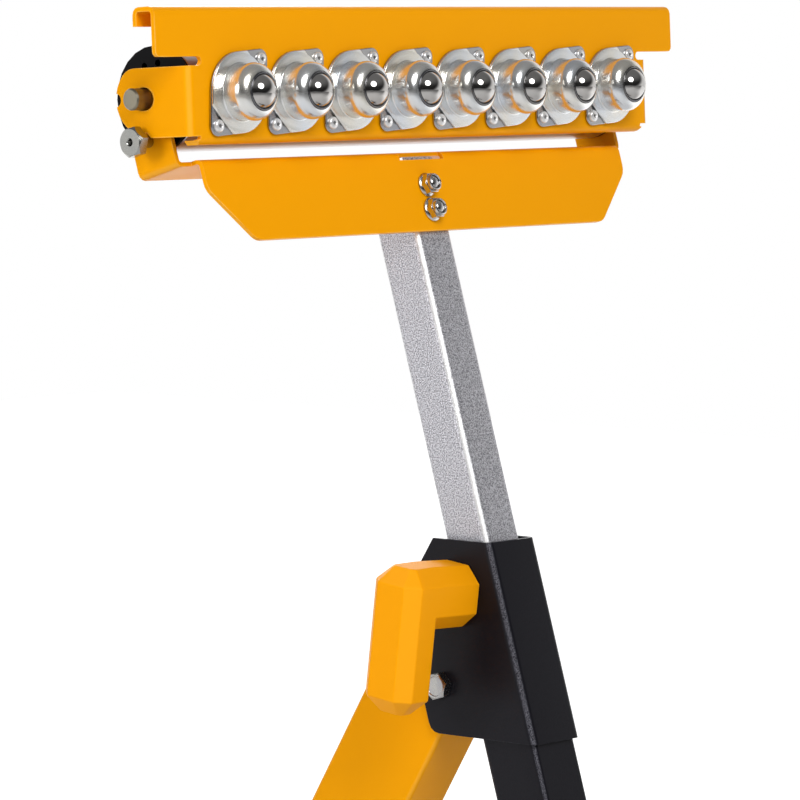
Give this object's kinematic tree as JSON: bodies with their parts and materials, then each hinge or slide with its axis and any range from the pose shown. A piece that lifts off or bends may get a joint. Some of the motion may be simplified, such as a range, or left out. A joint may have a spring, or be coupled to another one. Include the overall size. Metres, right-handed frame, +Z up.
{
  "type": "folding roller stand",
  "caption": "Folding work support stand with a sliding post and a turning head that offers a roller, a row of ball rollers or a guide edge.",
  "frame": {"origin": "on the floor at the middle of the footprint of the four feet", "axes": "+Z up, -Y towards the ball side of the head, +X to the right seen from the front"},
  "size_m": [0.4526, 0.559, 0.8812],
  "materials": {
    "yellow_coat": "semi-gloss powder coat",
    "black_coat": "satin powder coat",
    "speckled_silver": "speckled silver hammer coat",
    "zinc_steel": "bright zinc plate",
    "dull_steel": "oiled plain steel",
    "bright_steel": "bright plated tube",
    "chrome_steel": "polished bearing ball",
    "black_plastic": "moulded, matte",
    "white_nylon": "natural nylon",
    "yellow_plastic": "moulded, satin",
    "black_rubber": "matte rubber"
  },
  "bodies": {
    "frame": {"front_leg_tube": "black_coat", "guide_sleeve": "black_plastic", "hinge_bracket": "black_coat", "threaded_insert": "zinc_steel", "pivot_bolt": "zinc_steel", "pivot_nut": "zinc_steel", "front_foot_bar": "black_coat", "front_foot_left": "black_rubber", "front_foot_right": "black_rubber"},
    "post": {"post_tube": "speckled_silver", "post_glide": "black_plastic", "yoke": "yellow_coat", "stop_pin": "zinc_steel", "yoke_bolt_upper": "zinc_steel", "yoke_bolt_lower": "zinc_steel", "yoke_nut_upper": "zinc_steel", "yoke_nut_lower": "zinc_steel"},
    "axle_shaft": {"axle": "dull_steel", "spacer_washer_left": "yellow_coat", "spacer_washer_right": "yellow_coat"},
    "roller": {"roller_tube": "bright_steel", "roller_cap_left": "black_plastic", "roller_cap_right": "black_plastic", "roller_bearing_left": "dull_steel", "roller_bearing_right": "dull_steel"},
    "head": {"head_plate": "yellow_coat", "ball_housing_1": "zinc_steel", "ball_housing_2": "zinc_steel", "ball_housing_3": "zinc_steel", "ball_housing_4": "zinc_steel", "ball_housing_5": "zinc_steel", "ball_housing_6": "zinc_steel", "ball_housing_7": "zinc_steel", "ball_housing_8": "zinc_steel"},
    "lever": {"lock_lever": "yellow_plastic", "lock_screw": "zinc_steel"},
    "rear_leg": {"rear_leg_tube": "yellow_coat", "rear_leg_bush": "white_nylon", "rear_foot_bar": "black_coat", "rear_foot_left": "black_rubber", "rear_foot_right": "black_rubber"},
    "ball_1_body": {"ball_1": "chrome_steel"},
    "ball_2_body": {"ball_2": "chrome_steel"},
    "ball_3_body": {"ball_3": "chrome_steel"},
    "ball_4_body": {"ball_4": "chrome_steel"},
    "ball_5_body": {"ball_5": "chrome_steel"},
    "ball_6_body": {"ball_6": "chrome_steel"},
    "ball_7_body": {"ball_7": "chrome_steel"},
    "ball_8_body": {"ball_8": "chrome_steel"}
  },
  "joints": [
    {"name": "post_slide", "type": "slide", "parent": "frame", "child": "post", "axis": [0, 0.2874, 0.9578], "range_m": [-0.164, 0.242]},
    {"name": "head_turn", "type": "hinge", "parent": "post", "child": "axle_shaft", "pos_m": [0, -0.01053, 0.835], "axis": [-1, 0, 0], "range_deg": [0, 180]},
    {"name": "head_lift", "type": "slide", "parent": "axle_shaft", "child": "head", "axis": [0, 0.9988, -0.0489], "range_m": [0, 0.0032]},
    {"name": "roller_spin", "type": "hinge", "parent": "axle_shaft", "child": "roller", "pos_m": [0, -0.01053, 0.835], "axis": [1, 0, 0], "continuous": true},
    {"name": "ball_1_roll", "type": "hinge", "parent": "head", "child": "ball_1_body", "pos_m": [-0.15015, -0.05739, 0.83899], "axis": [1, 0, 0], "continuous": true},
    {"name": "ball_2_roll", "type": "hinge", "parent": "head", "child": "ball_2_body", "pos_m": [-0.10725, -0.05739, 0.83899], "axis": [1, 0, 0], "continuous": true},
    {"name": "ball_3_roll", "type": "hinge", "parent": "head", "child": "ball_3_body", "pos_m": [-0.06435, -0.05739, 0.83899], "axis": [1, 0, 0], "continuous": true},
    {"name": "ball_4_roll", "type": "hinge", "parent": "head", "child": "ball_4_body", "pos_m": [-0.02145, -0.05739, 0.83899], "axis": [1, 0, 0], "continuous": true},
    {"name": "ball_5_roll", "type": "hinge", "parent": "head", "child": "ball_5_body", "pos_m": [0.02145, -0.05739, 0.83899], "axis": [1, 0, 0], "continuous": true},
    {"name": "ball_6_roll", "type": "hinge", "parent": "head", "child": "ball_6_body", "pos_m": [0.06435, -0.05739, 0.83899], "axis": [1, 0, 0], "continuous": true},
    {"name": "ball_7_roll", "type": "hinge", "parent": "head", "child": "ball_7_body", "pos_m": [0.10725, -0.05739, 0.83899], "axis": [1, 0, 0], "continuous": true},
    {"name": "ball_8_roll", "type": "hinge", "parent": "head", "child": "ball_8_body", "pos_m": [0.15015, -0.05739, 0.83899], "axis": [1, 0, 0], "continuous": true},
    {"name": "rear_fold", "type": "hinge", "parent": "frame", "child": "rear_leg", "pos_m": [0, -0.06708, 0.52748], "axis": [-1, 0, 0], "range_deg": [0, 46]},
    {"name": "lever_turn", "type": "hinge", "parent": "frame", "child": "lever", "pos_m": [0, -0.08256, 0.57785], "axis": [-1, 0, 0], "range_deg": [0, 90]}
  ]
}
